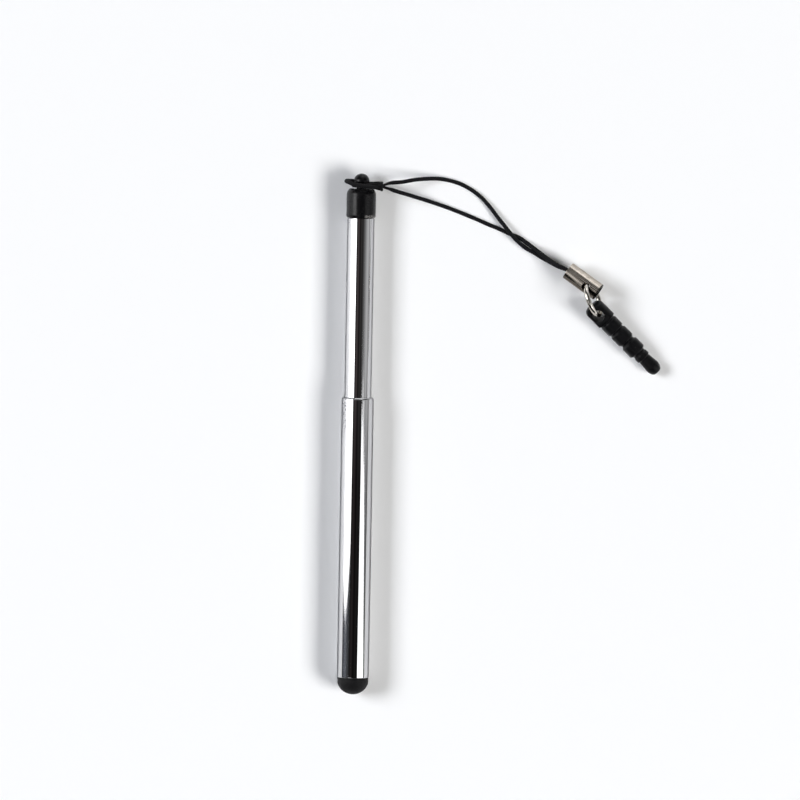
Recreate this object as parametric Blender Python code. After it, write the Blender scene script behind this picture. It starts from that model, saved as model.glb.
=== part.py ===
"""Telescoping stylus pen lying extended on a table, with its lanyard, ferrule, jump ring and dust plug."""
import math

import bmesh
import bpy
from mathutils import Matrix, Vector

# Units: every size below is in millimetres, and angles are in degrees
MM = 0.001
MERGE_DISTANCE = 0.0001 * MM
FULL_TURN = 2.0 * math.pi

# Mesh fineness
PEN_SIDES = 32
FERRULE_SIDES = 28
PLUG_SIDES = 24
WIRE_SIDES = 12
RING_STEPS = 44
HOLE_SIDES = 24
SHIM_STEPS = 12
ARC_STEPS = 4
DOME_STEPS = 7
CORD_BEVEL_STEPS = 2
SHARP_ANGLE = 35.0

# Stations along the pen, measured from the end of the rubber tip
PEN_LENGTH = 110.62
TIP_SHOULDER_AT = 3.56
BARREL_START_AT = 3.62
LIP_TOP_AT = 63.17
TUBE_TOP_AT = 101.14
CAP_START_AT = 101.22
NECK_START_AT = 107.42
NECK_END_AT = 108.67

# Outer barrel: a drawn tube with its top edge rolled in
BARREL_RADIUS = 3.4
BARREL_BORE = 3.08
BARREL_RIM_EDGE = 0.15
LIP_BORE = 2.92
LIP_ROLL = 0.45
LIP_LAND = 0.3
LIP_FLARE = 0.15

# Rubber tip: a hollow dome with a skirt inside the barrel
TIP_RADIUS = 3.3
TIP_HEIGHT = 3.0
TIP_WALL = 0.8
SKIRT_RADIUS = 3.03
SKIRT_BORE = 2.35
SKIRT_TOP_AT = 6.52
BARB_GROOVE_RADIUS = 2.64
BARB_GROOVE_START_AT = 4.77
BARB_GROOVE_END_AT = 5.47

# Tip holder: a turned plug pressed into the bore, barbed to keep the rubber on
HOLDER_RADIUS = 3.03
HOLDER_START_AT = 6.58
HOLDER_END_AT = 10.62
HOLDER_EDGE = 0.2
STEM_RADIUS = 2.3
STEM_END_AT = 4.32
STEM_EDGE = 0.3
BARB_RADIUS = 2.56
BARB_START_AT = 4.84
BARB_END_AT = 5.4

# Inner tube
TUBE_RADIUS = 2.86
TUBE_BORE = 2.56
TUBE_EDGE = 0.06

# Stop spool: two flanges with the friction groove between them, and a spigot up the inner tube
FLANGE_RADIUS = 3.0
FLANGE_THICKNESS = 0.8
FLANGE_EDGE = 0.12
FLANGE_TOP_AT = 62.79
GROOVE_RADIUS = 2.5
GROOVE_WIDTH = 6.0
SPIGOT_RADIUS = 2.51
SPIGOT_LENGTH = 4.0
SPIGOT_EDGE = 0.3
SPOOL_BORE = 1.0
TUBE_SEAT_GAP = 0.03

# Friction shims: two bowed half shells in the groove
SHIM_THICKNESS = 0.18
SHIM_END_RADIUS = 2.78
SHIM_CROWN_RADIUS = 3.05
SHIM_SWEEP = 160.0
SHIM_END_GAP = 0.1
SHIM_BOW_STEPS = 8

# End cap: one moulding with its spigot, neck and knob
CAP_RADIUS = 3.11
CAP_BOTTOM_EDGE = 0.25
CAP_SHOULDER_WIDTH = 0.8
CAP_SHOULDER_HEIGHT = 1.2
CAP_SHOULDER_CREASE = 20.0
CAP_SPIGOT_LENGTH = 6.0
NECK_RADIUS = 1.05
NECK_FILLET = 0.12
KNOB_RADIUS = 1.66
KNOB_EDGE = 0.3

# Ferrule: a rolled tube, open at the ring end, with a cross hole and a slit from the hole to the mouth
FERRULE_RADIUS = 1.88
FERRULE_BORE = 1.58
FERRULE_LENGTH = 8.0
FERRULE_EDGE = 0.1
FERRULE_HEADING = -34.6
FERRULE_PITCH = 8.0
HOLE_RADIUS = 0.95
HOLE_FROM_CORD_END = 5.35
HOLE_LEAN = 23.0
SLIT_WIDTH = 0.7
HOLE_CENTRE = (48.38, 32.545, 4.08)

# Cord crimp inside the ferrule
CRIMP_RADIUS = 1.51
CRIMP_EDGE = 0.12
CRIMP_START = 0.85
CRIMP_LENGTH = 2.1
CRIMP_CLEARANCE = 0.06
CORD_ENDS_AT = 3.2
CORD_ENDS_APART = 0.96

# Jump ring: round wire with its ends butted
RING_RADIUS = 3.55
WIRE_RADIUS = 0.52
RING_CHORD_HALF = 1.73
RING_LEAN = 16.0
RING_SWING = 36.0
RING_GAP = 2.0
RING_GAP_AT = -62.0

# Dust plug: one soft moulding with an eyelet head, ribs and a tapered end
EYELET_ON_RING = -11.0
PLUG_TURN = 22.6
EYELET_RADIUS = 1.3
EYELET_FROM_HEAD_END = 2.6
HEAD_RADIUS = 2.2
HEAD_HALF_THICKNESS = 1.5
HEAD_END_FLAT = 0.9
HEAD_LENGTH = 4.75
HEAD_EDGE = 0.2
RIBS = ((5.2, 7.5, 1.96), (8.12, 10.6, 1.94), (11.55, 14.05, 1.94), (14.92, 15.95, 1.57))
RIB_EDGE = 0.16
NOTCH_RADII = (1.82, 1.67, 1.51, 1.39, 1.31)
NOTCH_FLOOR = 0.12
TAPER_START = 16.42
TAPER_START_RADIUS = 1.34
TAPER_FULL_AT = 18.4
TAPER_FULL_RADIUS = 1.55
PLUG_END_FLAT = 0.6
PLUG_LENGTH = 20.2

# Lanyard cord: one loop, hitched on the neck, both ends in the ferrule
CORD_RADIUS = 0.425
LEG_SPACING = 4.0
HITCH_SPACING = 1.1
KNOT_CENTRE = (4.25, -0.1, 1.55)
KNOT_SQUEEZE = 0.65
KNOT_TIGHT_WITHIN = 1.3
KNOT_FULL_BEYOND = 2.6
LEG_ONE = (
    (42.0, 36.305, 2.42), (40.24, 37.165, 1.98), (38.53, 38.055, 1.52), (36.82, 39.085, 1.12),
    (35.11, 39.985, 0.9), (33.4, 41.365, 1.18), (32.0, 42.785, 1.42), (30.79, 44.285, 1.35),
    (29.06, 46.375, 0.98), (27.33, 48.565, 0.66), (25.6, 50.445, 0.5), (23.88, 51.795, 0.46),
    (21.31, 53.235, 0.46), (18.75, 54.035, 0.55), (16.2, 54.415, 0.92), (13.66, 54.375, 1.6),
    (11.12, 54.125, 2.45), (8.58, 53.655, 3.3), (6.04, 53.395, 4.1),
)
HITCH = (
    (5.2, 0.42, 0.98), (4.2, 0.03, 1.2), (3.0, 0.28, 1.45), (1.5, 0.1, 1.72), (0.0, 0.0, 1.66),
    (-1.18, 0.0, 1.18), (-1.67, 0.0, 0.0), (-1.18, 0.0, -1.18), (0.0, 0.0, -1.66), (1.2, -0.06, -1.52),
    (2.2, -0.18, -1.15), (3.05, -0.4, -0.6), (3.7, -0.62, 0.2), (4.15, -0.77, 1.0), (4.3, -0.81, 1.7),
    (4.3, -0.6, 2.3), (4.28, -0.08, 2.57), (4.28, 0.45, 2.22), (4.3, 0.7, 1.55), (4.2, 0.71, 0.75),
    (3.9, 0.6, -0.2), (3.3, 0.5, -1.2), (2.4, 0.42, -2.0), (1.3, 0.42, -2.5), (0.0, 0.6, -2.74),
    (-1.4, 0.85, -2.38), (-2.65, 0.95, -1.25), (-3.24, 0.92, 0.05), (-2.75, 0.7, 1.4), (-1.5, 0.25, 2.4),
    (0.0, 0.0, 2.76), (1.5, -0.15, 2.74), (2.9, -0.2, 2.38), (4.2, -0.12, 1.8),
)
LEG_TWO = (
    (5.3, 52.345, 4.95), (6.92, 51.825, 4.3), (10.33, 50.825, 2.85), (13.74, 49.815, 1.55),
    (17.15, 48.715, 0.75), (20.56, 47.495, 0.47), (23.98, 46.175, 0.45), (27.39, 44.755, 0.45),
    (29.95, 43.735, 0.45), (31.67, 42.915, 0.46), (33.37, 42.325, 0.5), (35.09, 41.245, 0.96),
    (36.8, 40.035, 1.5), (38.52, 38.785, 2.15), (40.24, 37.585, 2.84), (42.0, 36.565, 3.4),
)

# Surface finishes: colour, roughness and metallic value
CHROME = ((0.8, 0.8, 0.82), 0.08, 1.0)
NICKEL = ((0.72, 0.67, 0.6), 0.28, 1.0)
BRASS = ((0.78, 0.62, 0.32), 0.3, 1.0)
SPRING_STEEL = ((0.55, 0.55, 0.56), 0.35, 1.0)
BLACK_RUBBER = ((0.022, 0.022, 0.024), 0.75, 0.0)
BLACK_PLASTIC = ((0.02, 0.02, 0.022), 0.35, 0.0)
SOFT_BLACK_PLASTIC = ((0.02, 0.02, 0.021), 0.6, 0.0)
BLACK_CORD = ((0.012, 0.012, 0.013), 0.8, 0.0)

# Frames derived from the sizes above
AXIS_HEIGHT = BARREL_RADIUS * math.cos(math.pi / PEN_SIDES)
NECK_CENTRE = Vector((0.0, 0.5 * (NECK_START_AT + NECK_END_AT - PEN_LENGTH), AXIS_HEIGHT))
AXIS_POINT = Vector((0.0, 0.0, AXIS_HEIGHT))
QUARTER_TURN_ABOUT_X = Matrix.Rotation(-0.5 * math.pi, 4, "X")
PEN_FRAME = Matrix.Translation(Vector((0.0, -0.5 * PEN_LENGTH, AXIS_HEIGHT)) * MM) @ QUARTER_TURN_ABOUT_X


def clear_scene():
    for thing in list(bpy.data.objects):
        bpy.data.objects.remove(thing, do_unlink=True)


def arc(centre, radii, start, end, steps):
    """Points of an elliptic arc in (radius, station), from one angle to another."""
    points = []
    for step in range(steps + 1):
        angle = math.radians(start + (end - start) * step / steps)
        points.append((centre[0] + radii[0] * math.cos(angle), centre[1] + radii[1] * math.sin(angle)))
    return points


def add_object(name, bm, frame):
    """Close a mesh up, scale it to metres and place it by its frame."""
    bmesh.ops.scale(bm, vec=(MM, MM, MM), verts=bm.verts)
    bmesh.ops.remove_doubles(bm, verts=bm.verts, dist=MERGE_DISTANCE)
    bmesh.ops.recalc_face_normals(bm, faces=bm.faces)
    mesh = bpy.data.meshes.new(name)
    bm.to_mesh(mesh)
    bm.free()
    mesh.shade_smooth()
    mesh.set_sharp_from_angle(angle=math.radians(SHARP_ANGLE))
    placed = bpy.data.objects.new(name, mesh)
    bpy.context.scene.collection.objects.link(placed)
    placed.matrix_world = frame
    return placed


def paint(piece, finish):
    """Give a piece a material of its own."""
    colour, roughness, metallic = finish
    material = bpy.data.materials.new(piece.name + "_finish")
    material.use_nodes = True
    shader = material.node_tree.nodes["Principled BSDF"]
    shader.inputs["Base Color"].default_value = (*colour, 1.0)
    shader.inputs["Roughness"].default_value = roughness
    shader.inputs["Metallic"].default_value = metallic
    piece.data.materials.append(material)


def hang(piece, carrier):
    """Parent a piece to its carrier without moving it."""
    piece.parent = carrier
    piece.matrix_parent_inverse = carrier.matrix_world.inverted()


def pivot(name, place, carrier=None):
    """An empty on a joint's axis, which carries the pieces that move there."""
    empty = bpy.data.objects.new(name, None)
    bpy.context.scene.collection.objects.link(empty)
    empty.matrix_world = Matrix.Translation(place * MM)
    if carrier:
        hang(empty, carrier)
    return empty


def lathe(name, profile, sides, frame):
    """A turned solid from its (radius, station) profile, closed or axis to axis, facets square to the axes."""
    bm = bmesh.new()
    start = math.pi / sides
    verts = [bm.verts.new((r * math.cos(start), r * math.sin(start), z)) for r, z in profile]
    edges = [bm.edges.new(pair) for pair in zip(verts, verts[1:])]
    touches_axis = profile[0][0] == 0.0 and profile[-1][0] == 0.0
    if not touches_axis:
        edges.append(bm.edges.new((verts[-1], verts[0])))
    bmesh.ops.spin(bm, geom=verts + edges, cent=(0.0, 0.0, 0.0), axis=(0.0, 0.0, 1.0), angle=FULL_TURN,
                   steps=sides, use_merge=True)
    return add_object(name, bm, frame)


def swept_section(name, section, start, sweep, steps, frame):
    """A closed (radius, station) section turned part of the way round, with flat ends."""
    bm = bmesh.new()
    verts = [bm.verts.new((r * math.cos(start), r * math.sin(start), z)) for r, z in section]
    face = bm.faces.new(verts)
    bmesh.ops.spin(bm, geom=verts + list(face.edges) + [face], cent=(0.0, 0.0, 0.0), axis=(0.0, 0.0, 1.0),
                   angle=sweep, steps=steps)
    return add_object(name, bm, frame)


def cut(target, cutter):
    """Take a cutter out of a solid."""
    cutter.hide_render = True
    cutter.display_type = "WIRE"
    hang(cutter, target)
    boolean = target.modifiers.new("cut_" + cutter.name, "BOOLEAN")
    boolean.operation = "DIFFERENCE"
    boolean.solver = "EXACT"
    boolean.object = cutter


def box(name, low, high, frame):
    bm = bmesh.new()
    centre = (Vector(low) + Vector(high)) * 0.5
    size = Vector(high) - Vector(low)
    bmesh.ops.create_cube(bm, size=1.0)
    bmesh.ops.scale(bm, vec=size, verts=bm.verts)
    bmesh.ops.translate(bm, vec=centre, verts=bm.verts)
    return add_object(name, bm, frame)


def rod_along_x(name, radius, half_length, station, frame):
    bm = bmesh.new()
    turn = Matrix.Rotation(0.5 * math.pi, 4, "Y")
    bmesh.ops.create_cone(bm, cap_ends=True, segments=HOLE_SIDES, radius1=radius, radius2=radius,
                          depth=2.0 * half_length, matrix=Matrix.Translation((0.0, 0.0, station)) @ turn)
    return add_object(name, bm, frame)


def frame_from(x_axis, z_axis, origin):
    """A placing frame with the given x and z directions, its origin in millimetres."""
    z_axis = z_axis.normalized()
    x_axis = (x_axis - z_axis * x_axis.dot(z_axis)).normalized()
    y_axis = z_axis.cross(x_axis)
    turn = Matrix((x_axis, y_axis, z_axis)).transposed().to_4x4()
    return Matrix.Translation(origin * MM) @ turn


# Pen body
def outer_barrel():
    rim = arc((BARREL_RADIUS - BARREL_RIM_EDGE, BARREL_START_AT + BARREL_RIM_EDGE),
              (BARREL_RIM_EDGE, BARREL_RIM_EDGE), -90.0, 0.0, ARC_STEPS // 2)
    roll = arc((BARREL_RADIUS - LIP_ROLL, LIP_TOP_AT - LIP_ROLL), (LIP_ROLL, LIP_ROLL), 0.0, 90.0, ARC_STEPS)
    inside = [
        (LIP_BORE, LIP_TOP_AT - LIP_LAND),
        (BARREL_BORE, LIP_TOP_AT - LIP_LAND - LIP_FLARE),
        (BARREL_BORE, BARREL_START_AT),
    ]
    return lathe("outer_barrel", rim + roll + inside, PEN_SIDES, PEN_FRAME)


def rubber_tip():
    dome = arc((0.0, TIP_HEIGHT), (TIP_RADIUS, TIP_HEIGHT), -90.0, 0.0, DOME_STEPS)
    skirt = [
        (TIP_RADIUS, TIP_SHOULDER_AT),
        (SKIRT_RADIUS, TIP_SHOULDER_AT),
        (SKIRT_RADIUS, SKIRT_TOP_AT),
        (SKIRT_BORE, SKIRT_TOP_AT),
        (SKIRT_BORE, BARB_GROOVE_END_AT),
        (BARB_GROOVE_RADIUS, BARB_GROOVE_END_AT),
        (BARB_GROOVE_RADIUS, BARB_GROOVE_START_AT),
        (SKIRT_BORE, BARB_GROOVE_START_AT),
    ]
    hollow = arc((0.0, TIP_HEIGHT), (SKIRT_BORE, TIP_HEIGHT - TIP_WALL), 0.0, -90.0, DOME_STEPS)
    dome[0] = (0.0, 0.0)
    hollow[-1] = (0.0, TIP_WALL)
    return lathe("rubber_tip", dome + skirt + hollow, PEN_SIDES, PEN_FRAME)


def tip_holder():
    profile = [
        (0.0, STEM_END_AT),
        (STEM_RADIUS - STEM_EDGE, STEM_END_AT),
        (STEM_RADIUS, STEM_END_AT + STEM_EDGE),
        (STEM_RADIUS, BARB_START_AT),
        (BARB_RADIUS, BARB_END_AT),
        (STEM_RADIUS, BARB_END_AT),
        (STEM_RADIUS, HOLDER_START_AT),
        (HOLDER_RADIUS, HOLDER_START_AT),
        (HOLDER_RADIUS, HOLDER_END_AT - HOLDER_EDGE),
        (HOLDER_RADIUS - HOLDER_EDGE, HOLDER_END_AT),
        (0.0, HOLDER_END_AT),
    ]
    return lathe("tip_holder", profile, PEN_SIDES, PEN_FRAME)


def stop_spool():
    groove_top = FLANGE_TOP_AT - FLANGE_THICKNESS
    groove_bottom = groove_top - GROOVE_WIDTH
    spool_bottom = groove_bottom - FLANGE_THICKNESS
    spigot_top = FLANGE_TOP_AT + SPIGOT_LENGTH
    profile = [
        (SPOOL_BORE, spool_bottom),
        (FLANGE_RADIUS - FLANGE_EDGE, spool_bottom),
        (FLANGE_RADIUS, spool_bottom + FLANGE_EDGE),
        (FLANGE_RADIUS, groove_bottom),
        (GROOVE_RADIUS, groove_bottom),
        (GROOVE_RADIUS, groove_top),
        (FLANGE_RADIUS, groove_top),
        (FLANGE_RADIUS, FLANGE_TOP_AT - FLANGE_EDGE),
        (FLANGE_RADIUS - FLANGE_EDGE, FLANGE_TOP_AT),
        (SPIGOT_RADIUS, FLANGE_TOP_AT),
        (SPIGOT_RADIUS, spigot_top - SPIGOT_EDGE),
        (SPIGOT_RADIUS - SPIGOT_EDGE, spigot_top),
        (SPOOL_BORE, spigot_top),
    ]
    return lathe("stop_spool", profile, PEN_SIDES, PEN_FRAME)


def friction_shim(name, start):
    groove_top = FLANGE_TOP_AT - FLANGE_THICKNESS
    bottom = groove_top - GROOVE_WIDTH + SHIM_END_GAP
    length = GROOVE_WIDTH - 2.0 * SHIM_END_GAP
    outside = []
    for step in range(SHIM_BOW_STEPS + 1):
        share = step / SHIM_BOW_STEPS
        bow = (SHIM_CROWN_RADIUS - SHIM_END_RADIUS) * math.sin(math.pi * share)
        outside.append((SHIM_END_RADIUS + bow, bottom + length * share))
    inside = [(r - SHIM_THICKNESS, z) for r, z in reversed(outside)]
    first = math.radians(start - 0.5 * SHIM_SWEEP)
    return swept_section(name, outside + inside, first, math.radians(SHIM_SWEEP), SHIM_STEPS, PEN_FRAME)


def inner_tube():
    bottom = FLANGE_TOP_AT + TUBE_SEAT_GAP
    profile = [
        (TUBE_BORE, bottom),
        (TUBE_RADIUS - TUBE_EDGE, bottom),
        (TUBE_RADIUS, bottom + TUBE_EDGE),
        (TUBE_RADIUS, TUBE_TOP_AT - TUBE_EDGE),
        (TUBE_RADIUS - TUBE_EDGE, TUBE_TOP_AT),
        (TUBE_BORE, TUBE_TOP_AT),
    ]
    return lathe("inner_tube", profile, PEN_SIDES, PEN_FRAME)


def end_cap():
    spigot_bottom = CAP_START_AT - CAP_SPIGOT_LENGTH
    crease = math.radians(CAP_SHOULDER_CREASE)
    rounding = (CAP_SHOULDER_WIDTH / math.cos(crease), CAP_SHOULDER_HEIGHT / (1.0 - math.sin(crease)))
    shoulder = arc((CAP_RADIUS - CAP_SHOULDER_WIDTH, NECK_START_AT - rounding[1]), rounding,
                   CAP_SHOULDER_CREASE, 90.0, ARC_STEPS)
    knob = arc((0.0, NECK_END_AT + KNOB_EDGE), (KNOB_RADIUS, PEN_LENGTH - NECK_END_AT - KNOB_EDGE),
               0.0, 90.0, DOME_STEPS)
    knob[-1] = (0.0, PEN_LENGTH)
    profile = [
        (0.0, spigot_bottom),
        (SPIGOT_RADIUS - SPIGOT_EDGE, spigot_bottom),
        (SPIGOT_RADIUS, spigot_bottom + SPIGOT_EDGE),
        (SPIGOT_RADIUS, CAP_START_AT),
        (CAP_RADIUS - CAP_BOTTOM_EDGE, CAP_START_AT),
        (CAP_RADIUS, CAP_START_AT + CAP_BOTTOM_EDGE),
    ]
    profile += shoulder
    profile += [
        (NECK_RADIUS + NECK_FILLET, NECK_START_AT),
        (NECK_RADIUS, NECK_START_AT + NECK_FILLET),
        (NECK_RADIUS, NECK_END_AT),
        (KNOB_RADIUS - KNOB_EDGE, NECK_END_AT),
    ]
    profile += knob
    return lathe("end_cap", profile, PEN_SIDES, PEN_FRAME)


# Lanyard fittings
def lanyard_directions():
    """The ferrule's axis and square-up direction, the swing axis, and the ring's and plug's directions."""
    heading = math.radians(FERRULE_HEADING)
    pitch = math.radians(FERRULE_PITCH)
    axis = Vector((math.cos(pitch) * math.cos(heading), math.cos(pitch) * math.sin(heading), math.sin(pitch)))
    up = Vector((0.0, 0.0, 1.0))
    square_up = (up - axis * axis.z).normalized()
    aside = axis.cross(square_up)
    hole = square_up * math.cos(math.radians(HOLE_LEAN)) + aside * math.sin(math.radians(HOLE_LEAN))
    swing = square_up * math.cos(math.radians(RING_LEAN)) + aside * math.sin(math.radians(RING_LEAN))
    turn = math.radians(RING_SWING)
    reach = axis * math.cos(turn) - swing.cross(axis) * math.sin(turn)
    around = math.radians(EYELET_ON_RING)
    outward = reach * math.cos(around) + swing * math.sin(around)
    wire = swing * math.cos(around) - reach * math.sin(around)
    plug_turn = math.radians(PLUG_TURN)
    plug = outward * math.cos(plug_turn) + wire.cross(outward) * math.sin(plug_turn)
    return {"axis": axis, "square_up": square_up, "hole": hole, "swing": swing, "reach": reach,
            "outward": outward, "wire": wire, "plug": plug}


WAYS = lanyard_directions()
HOLE_POINT = Vector(HOLE_CENTRE)
FERRULE_START = HOLE_POINT - WAYS["axis"] * HOLE_FROM_CORD_END
RING_CENTRE = HOLE_POINT + WAYS["reach"] * math.sqrt(RING_RADIUS ** 2 - RING_CHORD_HALF ** 2)
EYELET_POINT = RING_CENTRE + WAYS["outward"] * RING_RADIUS
FERRULE_FRAME = frame_from(WAYS["hole"], WAYS["axis"], FERRULE_START)
CRIMP_FRAME = frame_from(WAYS["square_up"], WAYS["axis"], FERRULE_START)
RING_FRAME = frame_from(WAYS["reach"], WAYS["reach"].cross(WAYS["swing"]), RING_CENTRE)
PLUG_FRAME = frame_from(WAYS["wire"], WAYS["plug"], EYELET_POINT)


def cord_ferrule():
    profile = [
        (FERRULE_BORE, 0.0),
        (FERRULE_RADIUS - FERRULE_EDGE, 0.0),
        (FERRULE_RADIUS, FERRULE_EDGE),
        (FERRULE_RADIUS, FERRULE_LENGTH - FERRULE_EDGE),
        (FERRULE_RADIUS - FERRULE_EDGE, FERRULE_LENGTH),
        (FERRULE_BORE, FERRULE_LENGTH),
    ]
    tube = lathe("cord_ferrule", profile, FERRULE_SIDES, FERRULE_FRAME)
    reach = 2.0 * FERRULE_RADIUS
    cut(tube, rod_along_x("cutter_cross_hole", HOLE_RADIUS, reach, HOLE_FROM_CORD_END, FERRULE_FRAME))
    slit_low = (0.0, -0.5 * SLIT_WIDTH, HOLE_FROM_CORD_END)
    slit_high = (reach, 0.5 * SLIT_WIDTH, FERRULE_LENGTH + FERRULE_EDGE)
    cut(tube, box("cutter_slit", slit_low, slit_high, FERRULE_FRAME))
    return tube


def cord_crimp():
    end = CRIMP_START + CRIMP_LENGTH
    profile = [
        (0.0, CRIMP_START),
        (CRIMP_RADIUS - CRIMP_EDGE, CRIMP_START),
        (CRIMP_RADIUS, CRIMP_START + CRIMP_EDGE),
        (CRIMP_RADIUS, end - CRIMP_EDGE),
        (CRIMP_RADIUS - CRIMP_EDGE, end),
        (0.0, end),
    ]
    sleeve = lathe("cord_crimp", profile, FERRULE_SIDES, CRIMP_FRAME)
    bm = bmesh.new()
    bore = CORD_RADIUS + CRIMP_CLEARANCE
    middle = 0.5 * (CRIMP_START + end)
    for side in (-0.5, 0.5):
        place = Matrix.Translation((side * CORD_ENDS_APART, 0.0, middle))
        bmesh.ops.create_cone(bm, cap_ends=True, segments=HOLE_SIDES, radius1=bore, radius2=bore,
                              depth=2.0 * CRIMP_LENGTH, matrix=place)
    hull = bmesh.ops.convex_hull(bm, input=bm.verts)
    spare = set(hull["geom_interior"]) | set(hull["geom_unused"])
    bmesh.ops.delete(bm, geom=[v for v in spare if isinstance(v, bmesh.types.BMVert)], context="VERTS")
    leftover = [f for f in bm.faces if f not in set(hull["geom"])]
    bmesh.ops.delete(bm, geom=leftover, context="FACES_ONLY")
    cut(sleeve, add_object("cutter_cord_slot", bm, CRIMP_FRAME))
    return sleeve


def jump_ring():
    section = []
    for step in range(WIRE_SIDES):
        angle = FULL_TURN * step / WIRE_SIDES
        section.append((RING_RADIUS + WIRE_RADIUS * math.cos(angle), WIRE_RADIUS * math.sin(angle)))
    start = math.radians(RING_GAP_AT + 0.5 * RING_GAP)
    turn = FULL_TURN - math.radians(RING_GAP)
    return swept_section("jump_ring", section, start, turn, RING_STEPS, RING_FRAME)


def plug_profile():
    """The plug's half outline from the middle of its head end to the middle of its far end."""
    rounding = HEAD_RADIUS - HEAD_END_FLAT
    points = [(0.0, 0.0)]
    points += arc((HEAD_END_FLAT, rounding), (rounding, rounding), -90.0, 0.0, DOME_STEPS)
    points += [(HEAD_RADIUS, HEAD_LENGTH - HEAD_EDGE), (HEAD_RADIUS - HEAD_EDGE, HEAD_LENGTH)]
    previous_end = HEAD_LENGTH
    for (start, end, radius), notch in zip(RIBS, NOTCH_RADII):
        middle = 0.5 * (previous_end + start)
        points += [(notch, middle - NOTCH_FLOOR), (notch, middle + NOTCH_FLOOR)]
        points += [(radius - RIB_EDGE, start), (radius, start + RIB_EDGE)]
        points += [(radius, end - RIB_EDGE), (radius - RIB_EDGE, end)]
        previous_end = end
    middle = 0.5 * (previous_end + TAPER_START)
    points += [(NOTCH_RADII[-1], middle - NOTCH_FLOOR), (NOTCH_RADII[-1], middle + NOTCH_FLOOR)]
    points += [(TAPER_START_RADIUS, TAPER_START)]
    taper = (TAPER_FULL_RADIUS - PLUG_END_FLAT, PLUG_LENGTH - TAPER_FULL_AT)
    points += arc((PLUG_END_FLAT, TAPER_FULL_AT), taper, 0.0, 90.0, ARC_STEPS)
    points += [(0.0, PLUG_LENGTH)]
    return [(r, z - EYELET_FROM_HEAD_END) for r, z in points]


def dust_plug():
    plug = lathe("dust_plug", plug_profile(), PLUG_SIDES, PLUG_FRAME)
    reach = 2.0 * HEAD_RADIUS
    head_start = -EYELET_FROM_HEAD_END - HEAD_EDGE
    head_end = HEAD_LENGTH - EYELET_FROM_HEAD_END + 0.5 * HEAD_EDGE
    for name, side in (("cutter_head_flat_top", 1.0), ("cutter_head_flat_bottom", -1.0)):
        near = side * HEAD_HALF_THICKNESS
        far = side * reach
        low = (min(near, far), -reach, head_start)
        high = (max(near, far), reach, head_end)
        cut(plug, box(name, low, high, PLUG_FRAME))
    cut(plug, rod_along_x("cutter_eyelet", EYELET_RADIUS, reach, 0.0, PLUG_FRAME))
    return plug


# Lanyard cord
def spline_point(four, share):
    """A point of the smooth curve through four points, between the second and the third."""
    knots = [0.0]
    for first, second in zip(four, four[1:]):
        knots.append(knots[-1] + math.sqrt((second - first).length))
    at = knots[1] + (knots[2] - knots[1]) * share

    def blend(first, second, start, end):
        return first.lerp(second, (at - knots[start]) / (knots[end] - knots[start]))

    spans = [blend(four[index], four[index + 1], index, index + 1) for index in range(3)]
    pair = [blend(spans[index], spans[index + 1], index, index + 2) for index in range(2)]
    return blend(pair[0], pair[1], 1, 2)


def cord_route():
    """The cord's centre line in millimetres, from its lower end in the ferrule to its upper end."""
    offset = WAYS["square_up"] * (0.5 * CORD_ENDS_APART)
    inner = FERRULE_START + WAYS["axis"] * CORD_ENDS_AT
    mouth = FERRULE_START
    controls = [inner - offset, mouth - offset]
    controls += [Vector(point) for point in LEG_ONE]
    hitch_start = len(controls)
    controls += [NECK_CENTRE + Vector(point) for point in HITCH]
    hitch_end = len(controls)
    controls += [Vector(point) for point in LEG_TWO]
    controls += [mouth + offset, inner + offset]
    ends = [controls[0] * 2.0 - controls[1]] + controls + [controls[-1] * 2.0 - controls[-2]]
    route = []
    for index in range(len(controls) - 1):
        spacing = HITCH_SPACING if hitch_start <= index < hitch_end - 1 else LEG_SPACING
        length = (controls[index + 1] - controls[index]).length
        steps = max(1, round(length / spacing))
        for step in range(steps):
            route.append(spline_point(ends[index:index + 4], step / steps))
    route.append(controls[-1])
    return route


def cord_squeeze(place):
    """The cord's share of its full thickness: it is pinched where the bight grips the two legs."""
    away = (place - NECK_CENTRE - Vector(KNOT_CENTRE)).length
    share = (away - KNOT_TIGHT_WITHIN) / (KNOT_FULL_BEYOND - KNOT_TIGHT_WITHIN)
    share = min(max(share, 0.0), 1.0)
    return KNOT_SQUEEZE + (1.0 - KNOT_SQUEEZE) * share


def lanyard_cord():
    route = cord_route()
    curve = bpy.data.curves.new("lanyard_cord", "CURVE")
    curve.dimensions = "3D"
    curve.bevel_depth = CORD_RADIUS * MM
    curve.bevel_resolution = CORD_BEVEL_STEPS
    curve.use_fill_caps = True
    spline = curve.splines.new("POLY")
    spline.points.add(len(route) - 1)
    for point, place in zip(spline.points, route):
        point.co = (*(place * MM), 1.0)
        point.radius = cord_squeeze(place)
    cord = bpy.data.objects.new("lanyard_cord", curve)
    bpy.context.scene.collection.objects.link(cord)
    return cord


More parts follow.
